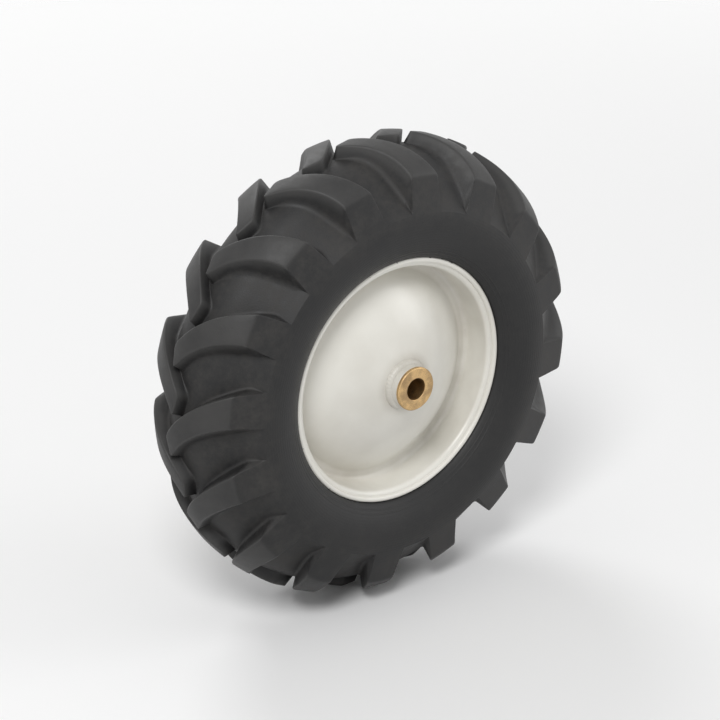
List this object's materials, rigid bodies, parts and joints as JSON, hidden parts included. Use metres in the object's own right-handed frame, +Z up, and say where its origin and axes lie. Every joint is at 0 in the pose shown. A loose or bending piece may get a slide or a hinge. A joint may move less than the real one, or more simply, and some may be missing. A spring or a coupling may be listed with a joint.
{
  "type": "wheel",
  "caption": "Lugged pneumatic wheel on a pressed steel dished rim, with a hub tube and flanged bushes that turn on a plain axle.",
  "frame": {"origin": "middle of the wheel on the axle line", "axes": "+Y along the axle towards the machine, so the outer face looks along -Y; +Z up; +X to the right as the outer face is seen"},
  "size_m": [0.406, 0.1384, 0.406],
  "materials": {
    "tyre_rubber": "moulded black rubber, dry",
    "rim_paint": "off-white gloss enamel on pressed steel",
    "bush_bronze": "sintered bronze, oiled",
    "valve_rubber": "moulded black rubber",
    "valve_brass": "turned brass",
    "valve_plastic": "moulded black plastic"
  },
  "bodies": {
    "root": {"tyre": "tyre_rubber", "outer_rim_half": "rim_paint", "inner_rim_half": "rim_paint", "hub_tube": "rim_paint", "outer_bush": "bush_bronze", "inner_bush": "bush_bronze", "valve_stem": "valve_rubber", "valve_insert": "valve_brass", "valve_core": "valve_brass", "valve_cap": "valve_plastic"}
  },
  "joints": []
}
